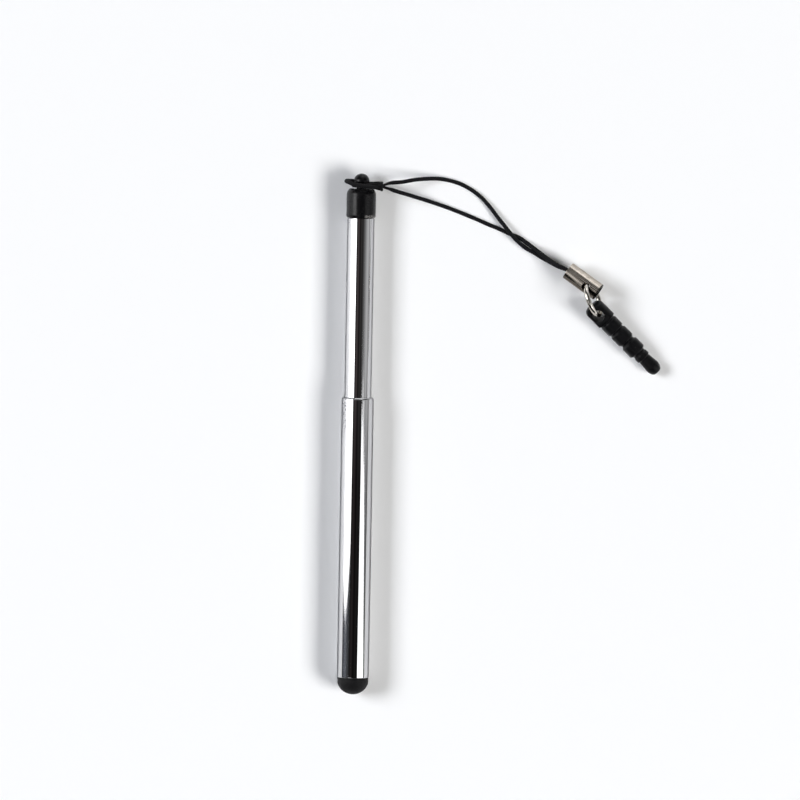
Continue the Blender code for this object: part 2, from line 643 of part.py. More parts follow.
# Build every piece, and hang it on what carries it
def build():
    barrel = pivot("barrel_axis", AXIS_POINT)
    slider = pivot("slider_axis", AXIS_POINT, barrel)
    inner_stage = pivot("inner_stage_axis", AXIS_POINT, slider)
    lanyard = pivot("lanyard_axis", NECK_CENTRE, inner_stage)
    ring = pivot("ring_axis", HOLE_POINT, lanyard)
    plug = pivot("plug_axis", EYELET_POINT, ring)
    pieces = (
        (outer_barrel(), CHROME, barrel),
        (rubber_tip(), BLACK_RUBBER, barrel),
        (tip_holder(), BRASS, barrel),
        (friction_shim("friction_shim_left", 180.0), SPRING_STEEL, slider),
        (friction_shim("friction_shim_right", 0.0), SPRING_STEEL, slider),
        (stop_spool(), BRASS, inner_stage),
        (inner_tube(), CHROME, inner_stage),
        (end_cap(), BLACK_PLASTIC, inner_stage),
        (lanyard_cord(), BLACK_CORD, lanyard),
        (cord_crimp(), BRASS, lanyard),
        (cord_ferrule(), NICKEL, lanyard),
        (jump_ring(), NICKEL, ring),
        (dust_plug(), SOFT_BLACK_PLASTIC, plug),
    )
    for piece, finish, carrier in pieces:
        paint(piece, finish)
        hang(piece, carrier)


clear_scene()
build()
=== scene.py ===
"""Looks of the telescoping stylus pen: tubes, mouldings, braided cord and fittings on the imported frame."""
import math

import bmesh
import bpy
from mathutils import Matrix, Vector


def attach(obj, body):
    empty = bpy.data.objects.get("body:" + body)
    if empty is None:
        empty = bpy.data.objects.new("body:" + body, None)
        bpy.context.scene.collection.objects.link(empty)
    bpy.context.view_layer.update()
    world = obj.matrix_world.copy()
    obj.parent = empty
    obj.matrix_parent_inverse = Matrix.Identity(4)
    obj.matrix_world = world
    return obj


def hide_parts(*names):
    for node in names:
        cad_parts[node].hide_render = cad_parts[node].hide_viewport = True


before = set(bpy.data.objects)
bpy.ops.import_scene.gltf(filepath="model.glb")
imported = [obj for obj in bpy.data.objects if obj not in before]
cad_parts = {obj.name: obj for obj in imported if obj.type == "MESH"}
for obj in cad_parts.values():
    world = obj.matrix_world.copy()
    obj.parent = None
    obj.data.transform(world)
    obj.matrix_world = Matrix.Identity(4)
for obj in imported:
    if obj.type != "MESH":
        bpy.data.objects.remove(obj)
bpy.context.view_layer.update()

# Units: sizes are in millimetres and angles in degrees, as on the solids; only FULL_TURN is in radians
MM = 0.001
FULL_TURN = 2.0 * math.pi
QUARTER = 90.0

# Mesh fineness; CAD_SIDES is that of the solids' tubes
CAD_SIDES = 32
TUBE_SIDES = 128
PLUG_SIDES = 96
FERRULE_SIDES = 120
WIRE_SIDES = 28
RING_STEPS = 180
ARC_STEPS = 10
DOME_STEPS = 28
HOLE_SIDES = 72
SHARP_ANGLE = 38.0
BEVEL_STEPS = 2
SUPPORT_RUN = 0.5
SUPPORT_INSET = 0.04

# Stations along the pen, measured from the end of the rubber tip
PEN_LENGTH = 110.62
TIP_SHOULDER_AT = 3.56
BARREL_START_AT = 3.62
LIP_TOP_AT = 63.17
TUBE_START_AT = 62.82
TUBE_TOP_AT = 101.14
CAP_START_AT = 101.22
NECK_START_AT = 107.42
NECK_END_AT = 108.67

# Outer barrel and inner tube
BARREL_RADIUS = 3.4
BARREL_BORE = 3.08
BARREL_RIM_EDGE = 0.15
LIP_BORE = 2.92
LIP_ROLL = 0.45
LIP_LAND = 0.3
LIP_FLARE = 0.15
TUBE_RADIUS = 2.86
TUBE_BORE = 2.56
TUBE_EDGE = 0.06

# Rubber tip
TIP_RADIUS = 3.3
TIP_HEIGHT = 3.0
TIP_WALL = 0.8
TIP_EDGE = 0.12
SKIRT_RADIUS = 3.03
SKIRT_BORE = 2.35
SKIRT_TOP_AT = 6.52
BARB_GROOVE_RADIUS = 2.64
BARB_GROOVE_START_AT = 4.77
BARB_GROOVE_END_AT = 5.47

# End cap
CAP_RADIUS = 3.11
CAP_BOTTOM_EDGE = (0.35, 0.6)
CAP_SHOULDER_WIDTH = 0.8
CAP_SHOULDER_HEIGHT = 1.2
CAP_SHOULDER_CREASE = 20.0
CAP_SPIGOT_LENGTH = 6.0
SPIGOT_RADIUS = 2.51
SPIGOT_EDGE = 0.3
NECK_RADIUS = 1.05
NECK_FILLET = 0.12
KNOB_RADIUS = 1.66
KNOB_EDGE = 0.3

# Ferrule
FERRULE_RADIUS = 1.88
FERRULE_BORE = 1.58
FERRULE_LENGTH = 8.0
FERRULE_EDGE = 0.1
FERRULE_HEADING = -34.6
FERRULE_PITCH = 8.0
HOLE_RADIUS = 0.95
HOLE_FROM_CORD_END = 5.35
HOLE_LEAN = 23.0
SLIT_WIDTH = 0.7
FERRULE_BEVEL = 0.03
HOLE_CENTRE = (48.38, 32.545, 4.08)

# Jump ring
RING_RADIUS = 3.55
WIRE_RADIUS = 0.52
WIRE_END_EDGE = 0.06
RING_CHORD_HALF = 1.73
RING_LEAN = 16.0
RING_SWING = 36.0
RING_GAP = 2.0
RING_GAP_AT = -62.0

# Dust plug: each rib has its start and end from the head's end, and its radius
EYELET_ON_RING = -11.0
PLUG_TURN = 22.6
EYELET_RADIUS = 1.3
EYELET_FROM_HEAD_END = 2.6
HEAD_RADIUS = 2.2
HEAD_HALF_THICKNESS = 1.5
HEAD_END_FLAT = 0.9
HEAD_LENGTH = 4.75
HEAD_EDGE = 0.2
RIBS = ((5.2, 7.5, 1.96), (8.12, 10.6, 1.94), (11.55, 14.05, 1.94), (14.92, 15.95, 1.57))
RIB_EDGE = 0.16
RIB_EDGE_SWEEP = 70.0
NOTCH_RADII = (1.82, 1.67, 1.51, 1.39, 1.31)
NOTCH_FLOOR = 0.12
TAPER_START = 16.42
TAPER_START_RADIUS = 1.34
TAPER_FULL_AT = 18.4
TAPER_FULL_RADIUS = 1.55
PLUG_END_FLAT = 0.6
PLUG_LENGTH = 20.2
PLUG_BEVEL = 0.1

# Lanyard cord: its route repeats the solid's, and the knot and the hitch count from the neck's centre
CORD_RADIUS = 0.425
CORD_ENDS_AT = 3.2
CORD_ENDS_APART = 0.96
KNOT_CENTRE = (4.25, -0.1, 1.55)
KNOT_SQUEEZE = 0.65
KNOT_TIGHT_WITHIN = 1.3
KNOT_FULL_BEYOND = 2.6
LEG_ONE = (
    (42.0, 36.305, 2.42), (40.24, 37.165, 1.98), (38.53, 38.055, 1.52), (36.82, 39.085, 1.12),
    (35.11, 39.985, 0.9), (33.4, 41.365, 1.18), (32.0, 42.785, 1.42), (30.79, 44.285, 1.35),
    (29.06, 46.375, 0.98), (27.33, 48.565, 0.66), (25.6, 50.445, 0.5), (23.88, 51.795, 0.46),
    (21.31, 53.235, 0.46), (18.75, 54.035, 0.55), (16.2, 54.415, 0.92), (13.66, 54.375, 1.6),
    (11.12, 54.125, 2.45), (8.58, 53.655, 3.3), (6.04, 53.395, 4.1),
)
HITCH = (
    (5.2, 0.42, 0.98), (4.2, 0.03, 1.2), (3.0, 0.28, 1.45), (1.5, 0.1, 1.72), (0.0, 0.0, 1.66),
    (-1.18, 0.0, 1.18), (-1.67, 0.0, 0.0), (-1.18, 0.0, -1.18), (0.0, 0.0, -1.66), (1.2, -0.06, -1.52),
    (2.2, -0.18, -1.15), (3.05, -0.4, -0.6), (3.7, -0.62, 0.2), (4.15, -0.77, 1.0), (4.3, -0.81, 1.7),
    (4.3, -0.6, 2.3), (4.28, -0.08, 2.57), (4.28, 0.45, 2.22), (4.3, 0.7, 1.55), (4.2, 0.71, 0.75),
    (3.9, 0.6, -0.2), (3.3, 0.5, -1.2), (2.4, 0.42, -2.0), (1.3, 0.42, -2.5), (0.0, 0.6, -2.74),
    (-1.4, 0.85, -2.38), (-2.65, 0.95, -1.25), (-3.24, 0.92, 0.05), (-2.75, 0.7, 1.4), (-1.5, 0.25, 2.4),
    (0.0, 0.0, 2.76), (1.5, -0.15, 2.74), (2.9, -0.2, 2.38), (4.2, -0.12, 1.8),
)
LEG_TWO = (
    (5.3, 52.345, 4.95), (6.92, 51.825, 4.3), (10.33, 50.825, 2.85), (13.74, 49.815, 1.55),
    (17.15, 48.715, 0.75), (20.56, 47.495, 0.47), (23.98, 46.175, 0.45), (27.39, 44.755, 0.45),
    (29.95, 43.735, 0.45), (31.67, 42.915, 0.46), (33.37, 42.325, 0.5), (35.09, 41.245, 0.96),
    (36.8, 40.035, 1.5), (38.52, 38.785, 2.15), (40.24, 37.585, 2.84), (42.0, 36.565, 3.4),
)

# Braid of the cord
BRAID_STRANDS = 5
BRAID_PITCH = 2.6
BRAID_DEPTH = 0.16
BRAID_CROWN = 1.055
BRAID_WEAVE = 0.45
CORD_SIDES = 30
CORD_STEP = 0.09

# Camera: the point in the middle of the picture, the width it shows and where it looks from
VIEW_CENTRE = (8.95, 7.435, 3.35)
VIEW_WIDTH = 169.6
VIEW_DISTANCE = 1750.0
VIEW_TILT = 2.88
VIEW_ROLL = 1.04
SENSOR_WIDTH = 36.0

# Shader sockets: plain names for those of the surface, and numbers for those of the colour mix
SOCKETS = {
    "colour": "Base Color", "roughness": "Roughness", "metallic": "Metallic", "edge_tint": "Specular Tint",
    "specular": "Specular IOR Level", "sheen": "Sheen Weight", "sheen_roughness": "Sheen Roughness",
}
MIX_INPUTS = (0, 6, 7)
MIX_RESULT = 2

# Noise: detail and roughness of each kind, then the ranges of its values that are used
PLAIN_NOISE = (2.0, 0.5)
FINE_NOISE = (3.0, 0.5)
PATCHY_NOISE = (4.0, 0.6)
UNEVEN_NOISE = (3.0, 0.6)
SPECK_NOISE = (1.0, 0.5)
GRAIN_RANGE = (0.3, 0.7)
SMUDGE_RANGE = (0.45, 0.75)

# Finishes: three sizes of a grain lie along x, y and z of the piece's frame, and pairs are ranges
FAR_AWAY = 1.0e6
CHROME_COLOUR = (0.6, 0.6, 0.612, 1.0)
CHROME_WORN = (0.16, 0.165, 0.18, 1.0)
CHROME_EDGE_TINT = (0.3, 0.3, 0.31, 1.0)
CHROME_LINES = (0.11, 0.11, 55.0)
CHROME_LINE_DEPTH = 0.0015
CHROME_SMUDGES = (3.8, 3.8, 11.0)
CHROME_SMUDGE_DULLING = 0.02
CHROME_POLISH = (0.015, 0.035)
CHROME_SPECKS = (0.26, 0.26, 0.36)
CHROME_SPECK_CUT = (0.53, 0.6)
CHROME_WORN_FLANK = (-2.15, -2.5)
CHROME_WORN_RISE = (-0.7, -1.3)
CHROME_WORN_DULLING = 0.3
BARREL_WEAR = (53.0, 60.0)
TUBE_WEAR = (98.0, 101.0)
NICKEL_EDGE_TINT = (0.3, 0.28, 0.25, 1.0)
NICKEL_TARNISH = (1.4, 1.4, 1.4)
NICKEL_TARNISH_SHADE = 0.72
NICKEL_LINE_DEPTH = 0.003
# Painted shade: a dark colour for the ferrule's bore and its mouth rim, where shade falls
NICKEL_BORE_SHADE = (0.035, 0.032, 0.028, 1.0)
# Painted shade on the ferrule: a brown colour on one flank stands in for a dark reflection; then the band's
# start, front and strength
NICKEL_SHADE_BROWN = (0.065, 0.053, 0.042, 1.0)
SHADE_BAND_START = (-0.2, 0.25)
SHADE_BAND_FRONT = (0.2, 0.6)
SHADE_BAND_STRENGTH = (0.5, 1.0)
FERRULE_SKIN = (FERRULE_RADIUS - 0.1, FERRULE_RADIUS - 0.05)
FERRULE_MOUTH = (FERRULE_LENGTH - 0.28, FERRULE_LENGTH - 0.16)
FERRULE_NICKEL = {"colour": (0.56, 0.51, 0.45), "polish": (0.18, 0.3), "grain": (0.11, 0.11, 6.6)}
RING_NICKEL = {"colour": (0.66, 0.63, 0.58), "polish": (0.1, 0.2), "grain": (0.25, 0.25, 0.25)}
MOULDING_GLOSS = (1.1, 1.1, 1.1)
DUST_SPECKS = (0.23, 0.23, 0.23)
DUST_CUT = (0.74, 0.79)
# The pale colour below serves dust specks and a painted highlight; the next four values place pale marks on
# the right of the cap's lower edge, scuffed streaks with a painted highlight of a lamp
DUST_AND_HIGHLIGHT_COLOUR = (0.2, 0.19, 0.18, 1.0)
SCUFF_AND_HIGHLIGHT_GRAIN = (0.5, 0.5, 0.14)
SCUFF_AND_HIGHLIGHT_CUT = (0.46, 0.56)
SCUFF_AND_HIGHLIGHT_REACH = (CAP_START_AT + 0.75, CAP_START_AT + 0.5)
SCUFF_AND_HIGHLIGHT_SIDE = (0.6, 1.1)
TIP_RUBBER = {
    "colour": (0.004, 0.004, 0.0045), "gloss": (0.55, 0.7), "specular": 0.22,
    "grain": 0.11, "depth": 0.006, "dust": 0.3,
}
CAP_PLASTIC = {
    "colour": (0.003, 0.003, 0.0035), "gloss": (0.2, 0.3), "specular": 0.2,
    # the last value sets the pale marks on the lower edge: scuffed streaks and painted highlight
    "grain": 0.14, "depth": 0.003, "dust": 0.4, "scuff_and_highlight": 0.7,
}
PLUG_PLASTIC = {
    "colour": (0.003, 0.003, 0.0035), "gloss": (0.3, 0.44), "specular": 0.2,
    "grain": 0.17, "depth": 0.01, "dust": 0.4,
}
BRASS = {"colour": (0.78, 0.6, 0.3, 1.0), "roughness": 0.25}
STEEL = {"colour": (0.55, 0.55, 0.56, 1.0), "roughness": 0.3}
LATHE_RINGS = (3.3, 3.3, 0.033)
LATHE_DULLING = 0.15
LATHE_DEPTH = 0.004
YARN_DARK = (0.003, 0.003, 0.0035, 1.0)
YARN_PALE = (0.009, 0.009, 0.01, 1.0)
YARN_ROUGHNESS = (0.55, 0.75)
YARN_SPECULAR = 0.12
YARN_SHEEN = 0.02
YARN_SHEEN_ROUGHNESS = 0.4
YARN_FIBRES = (0.06, 0.06, 0.06)
YARN_DEPTH = 0.01

# Floor
FLOOR_HALF = 30000.0
FLOOR_DROP = 0.02
FLOOR_COLOUR = (0.97, 0.97, 0.965, 1.0)
FLOOR_SPECULAR = 0.3
FLOOR_ROUGHNESS = 0.3
FLOOR_FADE = (160.0, 450.0)

# Lamps and cards: heading, angles from straight up, reach aside, radiance, colour and twist
LAMP_DISTANCE = 4000.0
LANYARD_SIDE = 55.4
KEY_LAMPS = {
    "left_key": (0.0, (-58.0, -40.0), (-337.0, 1700.0), 15.2, (0.96, 0.982, 1.03), 0.4),
    "right_key": (0.0, (40.0, 57.0), (-2400.0, -238.0), 20.0, (1.0, 1.0, 1.0), -1.5),
}
GLOSS_CARDS = {
    "left_card": (0.0, (-88.0, -34.0), (-342.0, 1700.0), 2.2, (1.0, 1.0, 1.0), 0.4),
    "left_core_card": (0.0, (-64.0, -40.0), (-250.0, 1700.0), 5.0, (1.0, 1.0, 1.0), 0.0),
    "right_inner_card": (0.0, (31.0, 59.0), (-2400.0, -228.0), 2.2, (1.0, 1.0, 1.0), -1.5),
    "right_outer_card": (0.0, (59.0, 78.0), (-2400.0, -326.0), 2.2, (1.0, 1.0, 1.0), -6.1),
    "right_fringe_card": (0.0, (38.0, 50.0), (-230.0, -180.0), 0.7, (1.0, 1.0, 1.0), 0.0),
    "far_card": (LANYARD_SIDE, (56.0, 86.0), (0.0, 4500.0), 1.6, (1.0, 1.0, 1.0), 0.0),
    "near_card": (0.0, (-37.0, -11.0), (-2600.0, -480.0), 1.0, (1.0, 1.0, 1.0), 0.0),
    "overhead_card": (0.0, (-35.0, 30.0), (300.0, 3500.0), 0.2, (1.0, 1.0, 1.0), 0.0),
}

# Room: shades by their angles from straight up, then parts of a direction of length one
ROOM_SHADES = (
    (-85.0, (0.16, 0.17, 0.2)), (-62.0, (0.5, 0.53, 0.6)), (-48.0, (0.24, 0.25, 0.28)),
    (-38.0, (0.16, 0.165, 0.17)), (-28.0, (0.035, 0.03, 0.03)), (-16.0, (0.085, 0.07, 0.07)),
    (-3.0, (0.012, 0.01, 0.01)), (11.0, (0.05, 0.046, 0.045)), (19.0, (0.022, 0.02, 0.02)),
    (28.0, (0.08, 0.078, 0.078)), (36.0, (0.17, 0.17, 0.17)), (45.0, (0.28, 0.28, 0.28)),
    (55.0, (0.5, 0.5, 0.5)), (66.0, (0.64, 0.64, 0.64)), (75.0, (0.62, 0.62, 0.62)),
    (83.0, (0.32, 0.32, 0.32)), (90.0, (0.28, 0.28, 0.29)),
)
ROOM_FRONT = (-0.045, -0.065)
ROOM_FRONT_SHADE = 0.35
ROOM_ENDS = (0.12, 0.3)
ROOM_END_COLOUR = (0.01, 0.01, 0.011, 1.0)
HORIZON = (0.06, 0.03)

# Frames derived from the sizes above
AXIS_HEIGHT = BARREL_RADIUS * math.cos(math.pi / CAD_SIDES)
NECK_CENTRE = Vector((0.0, 0.5 * (NECK_START_AT + NECK_END_AT - PEN_LENGTH), AXIS_HEIGHT))
QUARTER_TURN_ABOUT_X = Matrix.Rotation(-0.5 * math.pi, 4, "X")
PEN_FRAME = Matrix.Translation(Vector((0.0, -0.5 * PEN_LENGTH, AXIS_HEIGHT)) * MM) @ QUARTER_TURN_ABOUT_X


def frame_from(x_axis, z_axis, origin):
    """A placing frame with the given x and z directions, its origin in millimetres."""
    z_axis = z_axis.normalized()
    x_axis = (x_axis - z_axis * x_axis.dot(z_axis)).normalized()
    y_axis = z_axis.cross(x_axis)
    turn = Matrix((x_axis, y_axis, z_axis)).transposed().to_4x4()
    return Matrix.Translation(origin * MM) @ turn


def lanyard_directions():
    """Directions of the ferrule, its hole, the ring's swing and reach, the eyelet's wire and the plug."""
    heading = math.radians(FERRULE_HEADING)
    pitch = math.radians(FERRULE_PITCH)
    level = math.cos(pitch)
    axis = Vector((level * math.cos(heading), level * math.sin(heading), math.sin(pitch)))
    up = Vector((0.0, 0.0, 1.0))
    square_up = (up - axis * axis.z).normalized()
    aside = axis.cross(square_up)
    hole = square_up * math.cos(math.radians(HOLE_LEAN)) + aside * math.sin(math.radians(HOLE_LEAN))
    swing = square_up * math.cos(math.radians(RING_LEAN)) + aside * math.sin(math.radians(RING_LEAN))
    turn = math.radians(RING_SWING)
    reach = axis * math.cos(turn) - swing.cross(axis) * math.sin(turn)
    around = math.radians(EYELET_ON_RING)
    outward = reach * math.cos(around) + swing * math.sin(around)
    wire = swing * math.cos(around) - reach * math.sin(around)
    plug_turn = math.radians(PLUG_TURN)
    plug = outward * math.cos(plug_turn) + wire.cross(outward) * math.sin(plug_turn)
    return {"axis": axis, "square_up": square_up, "hole": hole, "swing": swing, "reach": reach,
            "outward": outward, "wire": wire, "plug": plug}


WAYS = lanyard_directions()
HOLE_POINT = Vector(HOLE_CENTRE)
FERRULE_START = HOLE_POINT - WAYS["axis"] * HOLE_FROM_CORD_END
RING_CENTRE = HOLE_POINT + WAYS["reach"] * math.sqrt(RING_RADIUS ** 2 - RING_CHORD_HALF ** 2)
EYELET_POINT = RING_CENTRE + WAYS["outward"] * RING_RADIUS
FERRULE_FRAME = frame_from(WAYS["hole"], WAYS["axis"], FERRULE_START)
RING_FRAME = frame_from(WAYS["reach"], WAYS["reach"].cross(WAYS["swing"]), RING_CENTRE)
PLUG_FRAME = frame_from(WAYS["wire"], WAYS["plug"], EYELET_POINT)
NO_FRAME = Matrix.Identity(4)


# Mesh helpers
def arc(centre, radii, start, end, steps):
    """Points of an elliptic arc in (radius, station), from one angle to another."""
    points = []
    for step in range(steps + 1):
        angle = math.radians(start + (end - start) * step / steps)
        points.append((centre[0] + radii[0] * math.cos(angle), centre[1] + radii[1] * math.sin(angle)))
    return points


def shade(mesh):
    """Smooth shading with creases kept."""
    mesh.shade_smooth()
    mesh.set_sharp_from_angle(angle=math.radians(SHARP_ANGLE))


def add_piece(name, bm, place):
    """Turn a millimetre mesh into an object in metres, its mesh laid out in its frame."""
    bmesh.ops.scale(bm, vec=(MM, MM, MM), verts=bm.verts)
    bmesh.ops.transform(bm, matrix=place, verts=bm.verts)
    bmesh.ops.recalc_face_normals(bm, faces=bm.faces)
    mesh = bpy.data.meshes.new(name)
    bm.to_mesh(mesh)
    bm.free()
    shade(mesh)
    piece = bpy.data.objects.new(name, mesh)
    bpy.context.scene.collection.objects.link(piece)
    return piece


def ring_of(bm, radius, station, sides):
    """A ring of vertices, or the one vertex on the axis."""
    if radius == 0.0:
        return [bm.verts.new((0.0, 0.0, station))]
    turns = [FULL_TURN * side / sides for side in range(sides)]
    return [bm.verts.new((radius * math.cos(turn), radius * math.sin(turn), station)) for turn in turns]


def bridge(bm, first, second):
    """Faces between two rings, either of which may be a single vertex."""
    sides = max(len(first), len(second))
    for side in range(sides):
        following = (side + 1) % sides
        corners = [first[side % len(first)], first[following % len(first)],
                   second[following % len(second)], second[side % len(second)]]
        bm.faces.new(list(dict.fromkeys(corners)))


def supported(profile):
    """An outline with extra points close to the ends of its long runs, so that they shade straight."""
    points = [profile[0]]
    for first, second in zip(profile, profile[1:]):
        length = math.dist(first, second)
        if length > SUPPORT_RUN:
            for share in (SUPPORT_INSET / length, 1.0 - SUPPORT_INSET / length):
                points.append(tuple(a + (b - a) * share for a, b in zip(first, second)))
        points.append(second)
    return points


def turned(name, profile, sides, place):
    """A turned solid from its (radius, station) outline, from axis to axis or all the way round a wall."""
    bm = bmesh.new()
    rings = [ring_of(bm, radius, station, sides) for radius, station in supported(profile)]
    pairs = list(zip(rings, rings[1:]))
    if profile[0][0] > 0.0:
        pairs.append((rings[-1], rings[0]))
    for first, second in pairs:
        bridge(bm, first, second)
    return add_piece(name, bm, place)


def rod_along_x(name, radius, half_length, station, place):
    bm = bmesh.new()
    turn = Matrix.Translation((0.0, 0.0, station)) @ Matrix.Rotation(0.5 * math.pi, 4, "Y")
    bmesh.ops.create_cone(bm, cap_ends=True, segments=HOLE_SIDES, radius1=radius, radius2=radius,
                          depth=2.0 * half_length, matrix=turn)
    return add_piece(name, bm, place)


def block(name, low, high, place):
    bm = bmesh.new()
    bmesh.ops.create_cube(bm, size=1.0)
    bmesh.ops.scale(bm, vec=Vector(high) - Vector(low), verts=bm.verts)
    bmesh.ops.translate(bm, vec=(Vector(low) + Vector(high)) * 0.5, verts=bm.verts)
    return add_piece(name, bm, place)


def carve(piece, cutters, bevel):
    """Cut solids out of a piece, round its sharp edges and keep the result as its mesh."""
    for cutter in cutters:
        boolean = piece.modifiers.new(cutter.name, "BOOLEAN")
        boolean.operation = "DIFFERENCE"
        boolean.solver = "EXACT"
        boolean.object = cutter
    rounding = piece.modifiers.new("rounding", "BEVEL")
    rounding.width = bevel * MM
    rounding.segments = BEVEL_STEPS
    rounding.limit_method = "ANGLE"
    rounding.angle_limit = math.radians(SHARP_ANGLE)
    bpy.context.view_layer.update()
    carved = bpy.data.meshes.new_from_object(piece.evaluated_get(bpy.context.evaluated_depsgraph_get()))
    piece.modifiers.clear()
    piece.data = carved
    shade(carved)
    for cutter in cutters:
        bpy.data.objects.remove(cutter, do_unlink=True)


# Pen body
def chrome_barrel():
    rim = arc((BARREL_RADIUS - BARREL_RIM_EDGE, BARREL_START_AT + BARREL_RIM_EDGE),
              (BARREL_RIM_EDGE, BARREL_RIM_EDGE), -QUARTER, 0.0, ARC_STEPS)
    roll = arc((BARREL_RADIUS - LIP_ROLL, LIP_TOP_AT - LIP_ROLL), (LIP_ROLL, LIP_ROLL),
               0.0, QUARTER, ARC_STEPS)
    inside = [
        (LIP_BORE, LIP_TOP_AT - LIP_LAND),
        (BARREL_BORE, LIP_TOP_AT - LIP_LAND - LIP_FLARE),
        (BARREL_BORE, BARREL_START_AT),
    ]
    return turned("chrome_barrel", rim + roll + inside, TUBE_SIDES, PEN_FRAME)


def rubber_dome():
    dome = arc((0.0, TIP_HEIGHT), (TIP_RADIUS, TIP_HEIGHT), -QUARTER, 0.0, DOME_STEPS)
    dome[0] = (0.0, 0.0)
    edge = arc((TIP_RADIUS - TIP_EDGE, TIP_SHOULDER_AT - TIP_EDGE), (TIP_EDGE, TIP_EDGE),
               0.0, QUARTER, ARC_STEPS)
    skirt = [
        (SKIRT_RADIUS, TIP_SHOULDER_AT),
        (SKIRT_RADIUS, SKIRT_TOP_AT),
        (SKIRT_BORE, SKIRT_TOP_AT),
        (SKIRT_BORE, BARB_GROOVE_END_AT),
        (BARB_GROOVE_RADIUS, BARB_GROOVE_END_AT),
        (BARB_GROOVE_RADIUS, BARB_GROOVE_START_AT),
        (SKIRT_BORE, BARB_GROOVE_START_AT),
    ]
    hollow = arc((0.0, TIP_HEIGHT), (SKIRT_BORE, TIP_HEIGHT - TIP_WALL), 0.0, -QUARTER, DOME_STEPS)
    hollow[-1] = (0.0, TIP_WALL)
    return turned("rubber_dome", dome + edge + skirt + hollow, TUBE_SIDES, PEN_FRAME)


def chrome_inner_tube():
    profile = [
        (TUBE_BORE, TUBE_START_AT),
        (TUBE_RADIUS - TUBE_EDGE, TUBE_START_AT),
        (TUBE_RADIUS, TUBE_START_AT + TUBE_EDGE),
        (TUBE_RADIUS, TUBE_TOP_AT - TUBE_EDGE),
        (TUBE_RADIUS - TUBE_EDGE, TUBE_TOP_AT),
        (TUBE_BORE, TUBE_TOP_AT),
    ]
    return turned("chrome_inner_tube", profile, TUBE_SIDES, PEN_FRAME)


def moulded_cap():
    spigot_bottom = CAP_START_AT - CAP_SPIGOT_LENGTH
    crease = math.radians(CAP_SHOULDER_CREASE)
    rounding = (CAP_SHOULDER_WIDTH / math.cos(crease), CAP_SHOULDER_HEIGHT / (1.0 - math.sin(crease)))
    bottom_edge = arc((CAP_RADIUS - CAP_BOTTOM_EDGE[0], CAP_START_AT + CAP_BOTTOM_EDGE[1]),
                      CAP_BOTTOM_EDGE, -QUARTER, 0.0, ARC_STEPS)
    shoulder = arc((CAP_RADIUS - CAP_SHOULDER_WIDTH, NECK_START_AT - rounding[1]), rounding,
                   CAP_SHOULDER_CREASE, QUARTER, ARC_STEPS)
    neck_foot = arc((NECK_RADIUS + NECK_FILLET, NECK_START_AT + NECK_FILLET), (NECK_FILLET, NECK_FILLET),
                    -QUARTER, -2.0 * QUARTER, ARC_STEPS)
    knob_edge = arc((KNOB_RADIUS - KNOB_EDGE, NECK_END_AT + KNOB_EDGE), (KNOB_EDGE, KNOB_EDGE),
                    -QUARTER, 0.0, ARC_STEPS)
    knob = arc((0.0, NECK_END_AT + KNOB_EDGE), (KNOB_RADIUS, PEN_LENGTH - NECK_END_AT - KNOB_EDGE),
               0.0, QUARTER, DOME_STEPS)
    knob[-1] = (0.0, PEN_LENGTH)
    spigot = [
        (0.0, spigot_bottom),
        (SPIGOT_RADIUS - SPIGOT_EDGE, spigot_bottom),
        (SPIGOT_RADIUS, spigot_bottom + SPIGOT_EDGE),
        (SPIGOT_RADIUS, CAP_START_AT),
    ]
    neck_top = [(NECK_RADIUS, NECK_END_AT)]
    profile = spigot + bottom_edge + shoulder + neck_foot + neck_top + knob_edge + knob[1:]
    return turned("moulded_cap", profile, TUBE_SIDES, PEN_FRAME)


# Lanyard fittings
def nickel_ferrule():
    outside_low = arc((FERRULE_RADIUS - FERRULE_EDGE, FERRULE_EDGE), (FERRULE_EDGE, FERRULE_EDGE),
                      -QUARTER, 0.0, ARC_STEPS)
    outside_high = arc((FERRULE_RADIUS - FERRULE_EDGE, FERRULE_LENGTH - FERRULE_EDGE),
                       (FERRULE_EDGE, FERRULE_EDGE), 0.0, QUARTER, ARC_STEPS)
    profile = [(FERRULE_BORE, 0.0)] + outside_low + outside_high + [(FERRULE_BORE, FERRULE_LENGTH)]
    tube = turned("nickel_ferrule", profile, FERRULE_SIDES, FERRULE_FRAME)
    reach = 2.0 * FERRULE_RADIUS
    hole = rod_along_x("cutter_hole", HOLE_RADIUS, reach, HOLE_FROM_CORD_END, FERRULE_FRAME)
    slit = block("cutter_slit", (0.0, -0.5 * SLIT_WIDTH, HOLE_FROM_CORD_END),
                 (reach, 0.5 * SLIT_WIDTH, FERRULE_LENGTH + FERRULE_EDGE), FERRULE_FRAME)
    carve(tube, (hole, slit), FERRULE_BEVEL)
    return tube


def nickel_ring():
    """Round wire bent to a ring, with chamfered ends that butt."""
    bm = bmesh.new()
    gap = math.radians(RING_GAP)
    start = math.radians(RING_GAP_AT) + 0.5 * gap
    sweep = FULL_TURN - gap
    chamfer = WIRE_END_EDGE / RING_RADIUS
    stations = [(start, WIRE_RADIUS - WIRE_END_EDGE)]
    for step in range(RING_STEPS + 1):
        stations.append((start + chamfer + (sweep - 2.0 * chamfer) * step / RING_STEPS, WIRE_RADIUS))
    stations.append((start + sweep, WIRE_RADIUS - WIRE_END_EDGE))
    rings = []
    for turn, radius in stations:
        section = []
        for side in range(WIRE_SIDES):
            angle = FULL_TURN * side / WIRE_SIDES
            out = RING_RADIUS + radius * math.cos(angle)
            place = (out * math.cos(turn), out * math.sin(turn), radius * math.sin(angle))
            section.append(bm.verts.new(place))
        rings.append(section)
    for first, second in zip(rings, rings[1:]):
        bridge(bm, first, second)
    bm.faces.new(rings[0])
    bm.faces.new(rings[-1])
    return add_piece("nickel_ring", bm, RING_FRAME)


